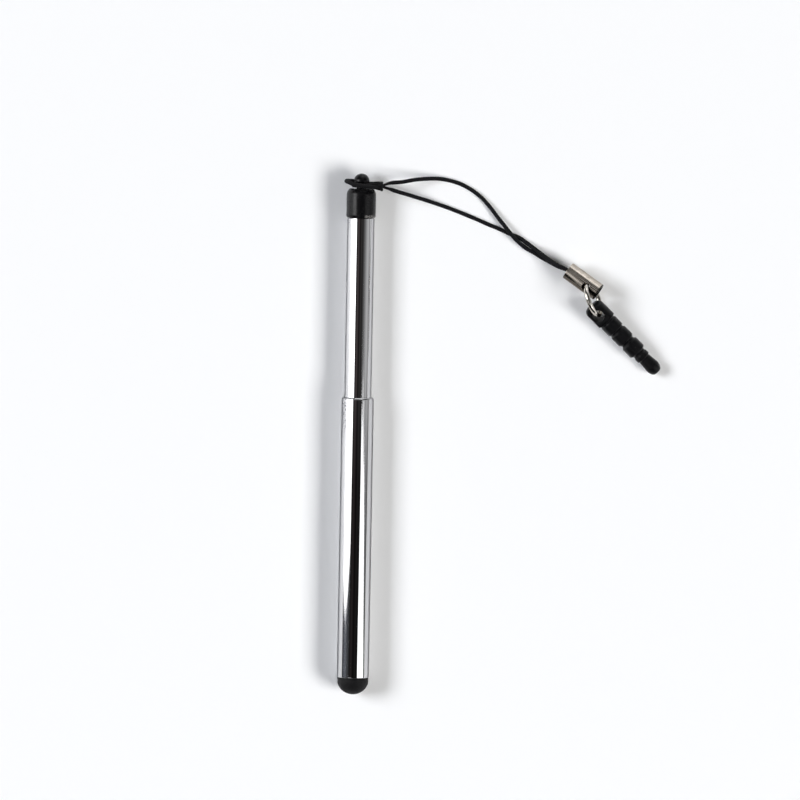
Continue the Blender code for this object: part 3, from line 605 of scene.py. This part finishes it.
def plug_profile():
    """The plug's half outline from the middle of its head end to the middle of its far end."""
    rounding = HEAD_RADIUS - HEAD_END_FLAT
    points = [(0.0, 0.0)]
    points += arc((HEAD_END_FLAT, rounding), (rounding, rounding), -QUARTER, 0.0, DOME_STEPS)
    points += arc((HEAD_RADIUS - HEAD_EDGE, HEAD_LENGTH - HEAD_EDGE), (HEAD_EDGE, HEAD_EDGE),
                  0.0, RIB_EDGE_SWEEP, ARC_STEPS)
    previous_end = HEAD_LENGTH
    for (start, end, radius), notch in zip(RIBS, NOTCH_RADII):
        middle = 0.5 * (previous_end + start)
        edge = (RIB_EDGE, RIB_EDGE)
        points += [(notch, middle - NOTCH_FLOOR), (notch, middle + NOTCH_FLOOR)]
        points += arc((radius - RIB_EDGE, start + RIB_EDGE), edge, -RIB_EDGE_SWEEP, 0.0, ARC_STEPS)
        points += arc((radius - RIB_EDGE, end - RIB_EDGE), edge, 0.0, RIB_EDGE_SWEEP, ARC_STEPS)
        previous_end = end
    middle = 0.5 * (previous_end + TAPER_START)
    points += [(NOTCH_RADII[-1], middle - NOTCH_FLOOR), (NOTCH_RADII[-1], middle + NOTCH_FLOOR)]
    points += [(TAPER_START_RADIUS, TAPER_START)]
    taper = (TAPER_FULL_RADIUS - PLUG_END_FLAT, PLUG_LENGTH - TAPER_FULL_AT)
    points += arc((PLUG_END_FLAT, TAPER_FULL_AT), taper, 0.0, QUARTER, DOME_STEPS)
    points += [(0.0, PLUG_LENGTH)]
    return [(r, z - EYELET_FROM_HEAD_END) for r, z in points]


def moulded_plug():
    plug = turned("moulded_plug", plug_profile(), PLUG_SIDES, PLUG_FRAME)
    reach = 2.0 * HEAD_RADIUS
    head_start = -EYELET_FROM_HEAD_END - HEAD_EDGE
    head_end = HEAD_LENGTH - EYELET_FROM_HEAD_END + 0.5 * HEAD_EDGE
    cutters = [rod_along_x("cutter_eyelet", EYELET_RADIUS, reach, 0.0, PLUG_FRAME)]
    for name, near, far in (("cutter_flat_top", HEAD_HALF_THICKNESS, reach),
                            ("cutter_flat_bottom", -reach, -HEAD_HALF_THICKNESS)):
        cutters.append(block(name, (near, -reach, head_start), (far, reach, head_end), PLUG_FRAME))
    carve(plug, cutters, PLUG_BEVEL)
    return plug


# Lanyard cord
def spline_point(four, share):
    """A point of the smooth curve through four points, between the second and the third."""
    knots = [0.0]
    for first, second in zip(four, four[1:]):
        knots.append(knots[-1] + math.sqrt((second - first).length))
    at = knots[1] + (knots[2] - knots[1]) * share

    def blend(first, second, start, end):
        return first.lerp(second, (at - knots[start]) / (knots[end] - knots[start]))

    spans = [blend(four[index], four[index + 1], index, index + 1) for index in range(3)]
    pair = [blend(spans[index], spans[index + 1], index, index + 2) for index in range(2)]
    return blend(pair[0], pair[1], 1, 2)


def cord_route():
    """The cord's centre line in millimetres, from its lower end in the ferrule to its upper end."""
    offset = WAYS["square_up"] * (0.5 * CORD_ENDS_APART)
    inner = FERRULE_START + WAYS["axis"] * CORD_ENDS_AT
    controls = [inner - offset, FERRULE_START - offset]
    controls += [Vector(point) for point in LEG_ONE]
    controls += [NECK_CENTRE + Vector(point) for point in HITCH]
    controls += [Vector(point) for point in LEG_TWO]
    controls += [FERRULE_START + offset, inner + offset]
    ends = [controls[0] * 2.0 - controls[1]] + controls + [controls[-1] * 2.0 - controls[-2]]
    route = []
    for index in range(len(controls) - 1):
        steps = max(1, round((controls[index + 1] - controls[index]).length / CORD_STEP))
        route += [spline_point(ends[index:index + 4], step / steps) for step in range(steps)]
    route.append(controls[-1])
    return route


def cord_squeeze(place):
    """The cord's share of its full thickness: it is pinched where the bight grips the two legs."""
    away = (place - NECK_CENTRE - Vector(KNOT_CENTRE)).length
    share = (away - KNOT_TIGHT_WITHIN) / (KNOT_FULL_BEYOND - KNOT_TIGHT_WITHIN)
    share = min(max(share, 0.0), 1.0)
    return KNOT_SQUEEZE + (1.0 - KNOT_SQUEEZE) * share


def braid_height(turn, along):
    """Height of the braid between its valleys, 0, and its crowns, 1."""
    right = math.sin(math.pi * BRAID_STRANDS * (turn + along / BRAID_PITCH))
    left = math.sin(math.pi * BRAID_STRANDS * (turn - along / BRAID_PITCH))
    crossing = BRAID_WEAVE * right * left
    over = math.sqrt(abs(right)) * (1.0 - BRAID_WEAVE + crossing)
    under = math.sqrt(abs(left)) * (1.0 - BRAID_WEAVE - crossing)
    return max(over, under)


def braided_cord():
    """A braided tube along the route, and the route in metres."""
    route = cord_route()
    bm = bmesh.new()
    side_way = (route[1] - route[0]).orthogonal().normalized()
    along = 0.0
    rings = []
    for index, place in enumerate(route):
        before = route[max(index - 1, 0)]
        after = route[min(index + 1, len(route) - 1)]
        forward = (after - before).normalized()
        side_way = (side_way - forward * side_way.dot(forward)).normalized()
        up_way = forward.cross(side_way)
        along += (place - before).length
        thickness = CORD_RADIUS * cord_squeeze(place)
        section = []
        for side in range(CORD_SIDES):
            turn = side / CORD_SIDES
            radius = thickness * (BRAID_CROWN - BRAID_DEPTH * (1.0 - braid_height(turn, along)))
            out = side_way * math.cos(FULL_TURN * turn) + up_way * math.sin(FULL_TURN * turn)
            section.append(bm.verts.new(place + out * radius))
        rings.append(section)
    for first, second in zip(rings, rings[1:]):
        bridge(bm, first, second)
    bm.faces.new(rings[0])
    bm.faces.new(rings[-1])
    cord = add_piece("braided_cord", bm, NO_FRAME)
    cord.data.shade_smooth()
    return cord, [point * MM for point in route]


# Material helpers
def add(tree, kind, inputs=None, **settings):
    """Add a node, set it up, and feed its inputs with values or with other nodes' outputs."""
    made = tree.nodes.new(kind)
    for key, value in settings.items():
        setattr(made, key, value)
    for key, value in (inputs or {}).items():
        if isinstance(value, bpy.types.NodeSocket):
            tree.links.new(value, made.inputs[key])
        else:
            made.inputs[key].default_value = value
    return made


def surface(name, **settings):
    """A material with its shader's sockets set to plain values."""
    material = bpy.data.materials.new(name)
    material.use_nodes = True
    shader = material.node_tree.nodes["Principled BSDF"]
    for key, value in settings.items():
        shader.inputs[SOCKETS[key]].default_value = value
    return material, material.node_tree, shader


def in_frame(tree, place, sizes):
    """Coordinates in a piece's own frame, counted in grains of the given sizes in millimetres."""
    coords = add(tree, "ShaderNodeTexCoord")
    mapping = add(tree, "ShaderNodeMapping", {
        "Vector": coords.outputs["Object"],
        "Location": place.to_translation(),
        "Rotation": place.to_euler(),
        "Scale": Vector(sizes) * MM,
    }, vector_type="TEXTURE")
    return mapping.outputs["Vector"]


def noise(tree, place, sizes, kind=PLAIN_NOISE):
    """Noise with a grain size along each axis of a piece's frame."""
    made = add(tree, "ShaderNodeTexNoise", {"Vector": in_frame(tree, place, sizes), "Scale": 1.0,
                                            "Detail": kind[0], "Roughness": kind[1]})
    return made.outputs["Fac"]


def place_along(tree, place, axis):
    """How far a point is along one axis of a piece's frame, in millimetres."""
    way = add(tree, "ShaderNodeSeparateXYZ", {"Vector": in_frame(tree, place, (1.0, 1.0, 1.0))})
    return way.outputs[axis]


def between(tree, value, source, target):
    """A value carried smoothly from one range to another."""
    made = add(tree, "ShaderNodeMapRange", {"Value": value, "From Min": source[0], "From Max": source[1],
                                            "To Min": target[0], "To Max": target[1]},
               interpolation_type="SMOOTHSTEP")
    return made.outputs["Result"]


def blend_colour(tree, factor, first, second):
    """A mix of two colours; the node's sockets go by number, because their names repeat."""
    inputs = dict(zip(MIX_INPUTS, (factor, first, second)))
    return add(tree, "ShaderNodeMix", inputs, data_type="RGBA").outputs[MIX_RESULT]


def math_of(tree, operation, first, second):
    made = add(tree, "ShaderNodeMath", {0: first, 1: second}, operation=operation)
    return made.outputs[0]


def length_of(tree, vector):
    return add(tree, "ShaderNodeVectorMath", {0: vector}, operation="LENGTH").outputs["Value"]


def bump(tree, shader, height, depth):
    """Relief from a pattern, with its depth in millimetres."""
    made = add(tree, "ShaderNodeBump", {"Height": height, "Distance": depth * MM})
    tree.links.new(made.outputs["Normal"], shader.inputs["Normal"])


def drive(tree, value, shader, socket):
    tree.links.new(value, shader.inputs[SOCKETS[socket]])


# Materials
def chrome(name, wear_from, wear_to):
    """Bright plate with drawing lines along the tube, smudges, and worn specks on one flank near an end."""
    material, tree, shader = surface(name, colour=CHROME_COLOUR, roughness=CHROME_POLISH[0], metallic=1.0,
                                     edge_tint=CHROME_EDGE_TINT)
    lines = noise(tree, PEN_FRAME, CHROME_LINES, FINE_NOISE)
    smudges = noise(tree, PEN_FRAME, CHROME_SMUDGES, PATCHY_NOISE)
    specks = between(tree, noise(tree, PEN_FRAME, CHROME_SPECKS, FINE_NOISE), CHROME_SPECK_CUT, (0.0, 1.0))
    near_end = between(tree, place_along(tree, PEN_FRAME, "Z"), (wear_from, wear_to), (0.0, 1.0))
    flank = between(tree, place_along(tree, PEN_FRAME, "X"), CHROME_WORN_FLANK, (0.0, 1.0))
    above = between(tree, place_along(tree, PEN_FRAME, "Y"), CHROME_WORN_RISE, (0.0, 1.0))
    strip = math_of(tree, "MULTIPLY", flank, above)
    worn = math_of(tree, "MULTIPLY", specks, math_of(tree, "MULTIPLY", near_end, strip))
    polish = math_of(tree, "ADD", between(tree, lines, GRAIN_RANGE, CHROME_POLISH),
                     between(tree, smudges, SMUDGE_RANGE, (0.0, CHROME_SMUDGE_DULLING)))
    drive(tree, blend_colour(tree, worn, CHROME_COLOUR, CHROME_WORN), shader, "colour")
    drive(tree, math_of(tree, "ADD", polish, math_of(tree, "MULTIPLY", worn, CHROME_WORN_DULLING)),
          shader, "roughness")
    bump(tree, shader, lines, CHROME_LINE_DEPTH)
    return material


def ferrule_painted_shade(tree, lines, plate):
    """Painted shade: a brown band darkening one flank, and a dark colour in the bore and on the mouth's rim.
    """
    # Painted shade: a brown band on one flank darkens the plate where its reflection is dark
    flank = between(tree, place_along(tree, FERRULE_FRAME, "Y"), SHADE_BAND_START, (0.0, 1.0))
    front = between(tree, place_along(tree, FERRULE_FRAME, "X"), SHADE_BAND_FRONT, (0.0, 1.0))
    broken = between(tree, lines, GRAIN_RANGE, SHADE_BAND_STRENGTH)
    shade_band = math_of(tree, "MULTIPLY", broken, math_of(tree, "MULTIPLY", flank, front))
    shaded_plate = blend_colour(tree, shade_band, plate, NICKEL_SHADE_BROWN)
    # Painted shade: the bore and the mouth's rim take a dark colour, where shade falls
    across = in_frame(tree, FERRULE_FRAME, (1.0, 1.0, FAR_AWAY))
    away = length_of(tree, across)
    skin = between(tree, away, FERRULE_SKIN, (0.0, 1.0))
    short_of_mouth = between(tree, place_along(tree, FERRULE_FRAME, "Z"), FERRULE_MOUTH, (1.0, 0.0))
    return blend_colour(tree, math_of(tree, "MULTIPLY", skin, short_of_mouth), NICKEL_BORE_SHADE, shaded_plate)


def nickel(name, place, colour, polish, grain, painted_shade=None):
    """Satin plate with fine lines and patches of tarnish, and any painted shade of its own."""
    material, tree, shader = surface(name, colour=(*colour, 1.0), roughness=polish[0], metallic=1.0,
                                     edge_tint=NICKEL_EDGE_TINT)
    lines = noise(tree, place, grain, FINE_NOISE)
    patches = noise(tree, place, NICKEL_TARNISH, PATCHY_NOISE)
    tarnish = between(tree, patches, SMUDGE_RANGE, (0.0, 1.0))
    dulled = tuple(NICKEL_TARNISH_SHADE * part for part in colour)
    plate = blend_colour(tree, tarnish, (*colour, 1.0), (*dulled, 1.0))
    if painted_shade:
        plate = painted_shade(tree, lines, plate)
    drive(tree, plate, shader, "colour")
    drive(tree, between(tree, lines, GRAIN_RANGE, polish), shader, "roughness")
    bump(tree, shader, lines, NICKEL_LINE_DEPTH)
    return material


def scuffs_and_highlight(tree, strength):
    """Pale marks on one side of the cap's lower edge: scuffed streaks with a painted highlight of a lamp on
    that rounded edge.
    """
    streaks = between(tree, noise(tree, PEN_FRAME, SCUFF_AND_HIGHLIGHT_GRAIN, FINE_NOISE), SCUFF_AND_HIGHLIGHT_CUT, (0.0, strength))
    low = between(tree, place_along(tree, PEN_FRAME, "Z"), SCUFF_AND_HIGHLIGHT_REACH, (0.0, 1.0))
    side = between(tree, place_along(tree, PEN_FRAME, "X"), SCUFF_AND_HIGHLIGHT_SIDE, (0.0, 1.0))
    return math_of(tree, "MULTIPLY", streaks, math_of(tree, "MULTIPLY", low, side))


def moulding(name, place, colour, gloss, specular, grain, depth, dust, scuff_and_highlight=0.0):
    """Moulded black plastic or rubber: fine grain, uneven gloss, pale specks of dust and any scuffed marks
    with a painted highlight.
    """
    material, tree, shader = surface(name, colour=(*colour, 1.0), roughness=gloss[0], specular=specular)
    texture = noise(tree, place, (grain, grain, grain), FINE_NOISE)
    sheen = noise(tree, place, MOULDING_GLOSS, UNEVEN_NOISE)
    pale = between(tree, noise(tree, place, DUST_SPECKS, SPECK_NOISE), DUST_CUT, (0.0, dust))
    # Painted highlight: pale marks on the right of the cap's lower edge, together with scuffed streaks
    if scuff_and_highlight > 0.0:
        pale = math_of(tree, "MAXIMUM", pale, scuffs_and_highlight(tree, scuff_and_highlight))
    drive(tree, blend_colour(tree, pale, (*colour, 1.0), DUST_AND_HIGHLIGHT_COLOUR), shader, "colour")
    drive(tree, between(tree, sheen, GRAIN_RANGE, gloss), shader, "roughness")
    bump(tree, shader, texture, depth)
    return material


def turned_metal(name, place, colour, roughness):
    """Metal as it leaves the lathe, with fine rings along its length."""
    material, tree, shader = surface(name, colour=colour, roughness=roughness, metallic=1.0)
    rings = noise(tree, place, LATHE_RINGS)
    dulling = (roughness, roughness + LATHE_DULLING)
    drive(tree, between(tree, rings, GRAIN_RANGE, dulling), shader, "roughness")
    bump(tree, shader, rings, LATHE_DEPTH)
    return material


def cord_yarn():
    """Black nylon yarn with a soft sheen and fibres along the strands."""
    material, tree, shader = surface("cord_yarn", colour=YARN_DARK, roughness=YARN_ROUGHNESS[0],
                                     specular=YARN_SPECULAR, sheen=YARN_SHEEN,
                                     sheen_roughness=YARN_SHEEN_ROUGHNESS)
    fibres = noise(tree, NO_FRAME, YARN_FIBRES)
    drive(tree, blend_colour(tree, fibres, YARN_DARK, YARN_PALE), shader, "colour")
    drive(tree, between(tree, fibres, GRAIN_RANGE, YARN_ROUGHNESS), shader, "roughness")
    bump(tree, shader, fibres, YARN_DEPTH)
    return material


# Pieces on their bodies
def dress(piece, material, body, node):
    """Give a piece its material and the body that it rides on, and hide the solid that it stands for."""
    piece.data.materials.clear()
    piece.data.materials.append(material)
    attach(piece, body)
    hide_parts(node)
    return piece


def make_pen():
    barrel_chrome = chrome("barrel_chrome", *BARREL_WEAR)
    tip_rubber = moulding("tip_rubber", PEN_FRAME, **TIP_RUBBER)
    tube_chrome = chrome("tube_chrome", *TUBE_WEAR)
    cap_plastic = moulding("cap_plastic", PEN_FRAME, **CAP_PLASTIC)
    dress(chrome_barrel(), barrel_chrome, "barrel", "outer_barrel")
    dress(rubber_dome(), tip_rubber, "barrel", "rubber_tip")
    dress(chrome_inner_tube(), tube_chrome, "inner_stage", "inner_tube")
    dress(moulded_cap(), cap_plastic, "inner_stage", "end_cap")


def make_lanyard():
    # The ferrule's plate carries painted shade: a darker flank, bore and mouth rim
    ferrule_nickel = nickel("ferrule_nickel", FERRULE_FRAME, **FERRULE_NICKEL, painted_shade=ferrule_painted_shade)
    ring_nickel = nickel("ring_nickel", RING_FRAME, **RING_NICKEL)
    plug_plastic = moulding("plug_plastic", PLUG_FRAME, **PLUG_PLASTIC)
    ferrule = dress(nickel_ferrule(), ferrule_nickel, "lanyard", "cord_ferrule")
    ring = dress(nickel_ring(), ring_nickel, "ring", "jump_ring")
    plug = dress(moulded_plug(), plug_plastic, "plug", "dust_plug")
    cord, route = braided_cord()
    dress(cord, cord_yarn(), "lanyard", "lanyard_cord")


def dress_hidden_nodes():
    """Real metals on the solids that only show when the pen is taken apart."""
    brass = turned_metal("turned_brass", PEN_FRAME, **BRASS)
    crimp_brass = turned_metal("crimp_brass", FERRULE_FRAME, **BRASS)
    steel = turned_metal("rolled_steel", PEN_FRAME, **STEEL)
    for node, material in (("tip_holder", brass), ("stop_spool", brass), ("cord_crimp", crimp_brass),
                           ("friction_shim_left", steel), ("friction_shim_right", steel)):
        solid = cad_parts[node]
        solid.data.materials.clear()
        solid.data.materials.append(material)


# Studio
def floor():
    """A pale plane that keeps the shadows near the object and fades to its plain colour further out."""
    corners = [Vector((side * FLOOR_HALF, end * FLOOR_HALF, -FLOOR_DROP)) * MM
               for side, end in ((-1.0, -1.0), (1.0, -1.0), (1.0, 1.0), (-1.0, 1.0))]
    mesh = bpy.data.meshes.new("floor")
    mesh.from_pydata(corners, [], [(0, 1, 2, 3)])
    plane = bpy.data.objects.new("floor", mesh)
    bpy.context.scene.collection.objects.link(plane)
    material, tree, shader = surface("floor_pale", colour=FLOOR_COLOUR, roughness=FLOOR_ROUGHNESS,
                                     specular=FLOOR_SPECULAR)
    glow = add(tree, "ShaderNodeEmission", {"Color": FLOOR_COLOUR, "Strength": 1.0})
    away = length_of(tree, in_frame(tree, NO_FRAME, (1.0, 1.0, 1.0)))
    fade = between(tree, away, FLOOR_FADE, (0.0, 1.0))
    ray = add(tree, "ShaderNodeLightPath")
    mirrored = math_of(tree, "MAXIMUM", ray.outputs["Is Glossy Ray"], ray.outputs["Is Transmission Ray"])
    seen = math_of(tree, "MAXIMUM", ray.outputs["Is Camera Ray"], mirrored)
    share = math_of(tree, "MULTIPLY", fade, seen)
    mix = add(tree, "ShaderNodeMixShader", {0: share, 1: shader.outputs[0], 2: glow.outputs[0]})
    tree.links.new(mix.outputs[0], tree.nodes["Material Output"].inputs["Surface"])
    mesh.materials.append(material)


def softbox(name, heading, zenith, along, radiance, colour, twist, lights_floor):
    """A lamp for the floor, or a card for the gloss, by its angles from straight up and its reach aside."""
    turn = math.radians(heading)
    middle = math.radians(0.5 * (zenith[0] + zenith[1]))
    spread = math.radians(abs(zenith[1] - zenith[0]))
    aside = Vector((-math.sin(turn), math.cos(turn), 0.0))
    out = Vector((math.sin(middle) * math.cos(turn), math.sin(middle) * math.sin(turn), math.cos(middle)))
    lamp = bpy.data.lights.new(name, "AREA")
    lamp.shape = "RECTANGLE"
    lamp.size = 2.0 * LAMP_DISTANCE * math.tan(0.5 * spread) * MM
    lamp.size_y = (along[1] - along[0]) * MM
    lamp.energy = radiance * math.pi * lamp.size * lamp.size_y
    lamp.color = colour
    holder = bpy.data.objects.new(name, lamp)
    holder.visible_camera = False
    holder.visible_diffuse = lights_floor
    holder.visible_glossy = not lights_floor
    bpy.context.scene.collection.objects.link(holder)
    place = frame_from(aside.cross(out), out, out * LAMP_DISTANCE + aside * (0.5 * (along[0] + along[1])))
    holder.matrix_world = place @ Matrix.Rotation(math.radians(twist), 4, "Z")


def sky():
    """The room round the table: dark overhead and at both ends, grey at the sides, pale at the horizon."""
    world = bpy.data.worlds.new("studio")
    bpy.context.scene.world = world
    world.use_nodes = True
    tree = world.node_tree
    coords = add(tree, "ShaderNodeTexCoord")
    way = add(tree, "ShaderNodeSeparateXYZ", {"Vector": coords.outputs["Generated"]})
    x, y, z = (way.outputs[axis] for axis in "XYZ")
    ramp = add(tree, "ShaderNodeValToRGB")
    stops = ramp.color_ramp.elements
    while len(stops) < len(ROOM_SHADES):
        stops.new(1.0)
    for stop, (angle, colour) in zip(stops, ROOM_SHADES):
        stop.position = 0.5 + math.radians(angle) / math.pi
        stop.color = (*colour, 1.0)
    lean = math_of(tree, "ARCTAN2", x, z)
    across = add(tree, "ShaderNodeMapRange", {"Value": lean, "From Min": -0.5 * math.pi,
                                              "From Max": 0.5 * math.pi})
    tree.links.new(across.outputs["Result"], ramp.inputs["Fac"])
    front = between(tree, y, ROOM_FRONT, (1.0, ROOM_FRONT_SHADE))
    dimmed = add(tree, "ShaderNodeVectorMath", {0: ramp.outputs["Color"], "Scale": front},
                 operation="SCALE")
    aside = add(tree, "ShaderNodeMath", {0: y}, operation="ABSOLUTE").outputs[0]
    ends = between(tree, aside, ROOM_ENDS, (0.0, 1.0))
    walls = blend_colour(tree, ends, dimmed.outputs["Vector"], ROOM_END_COLOUR)
    horizon = between(tree, z, HORIZON, (0.0, 1.0))
    room = blend_colour(tree, horizon, walls, FLOOR_COLOUR)
    tree.links.new(room, tree.nodes["Background"].inputs["Color"])


def camera():
    """The photograph's view: nearly straight down, a little from the cap's side."""
    roll = math.radians(VIEW_ROLL)
    tilt = math.radians(VIEW_TILT)
    up = Vector((-math.sin(roll), math.cos(roll), 0.0))
    back = up * math.sin(tilt) + Vector((0.0, 0.0, math.cos(tilt)))
    lens = bpy.data.cameras.new("camera")
    lens.sensor_width = SENSOR_WIDTH
    lens.lens = SENSOR_WIDTH * VIEW_DISTANCE / VIEW_WIDTH
    eye = bpy.data.objects.new("camera", lens)
    bpy.context.scene.collection.objects.link(eye)
    eye.matrix_world = frame_from(up.cross(back), back, Vector(VIEW_CENTRE) + back * VIEW_DISTANCE)
    bpy.context.scene.camera = eye


# The whole scene
bpy.context.scene.view_settings.view_transform = "Standard"
camera()
make_lanyard()
make_pen()
dress_hidden_nodes()
floor()
sky()
for lamp_name, lamp_values in KEY_LAMPS.items():
    softbox(lamp_name, *lamp_values, True)
for card_name, card_values in GLOSS_CARDS.items():
    softbox(card_name, *card_values, False)
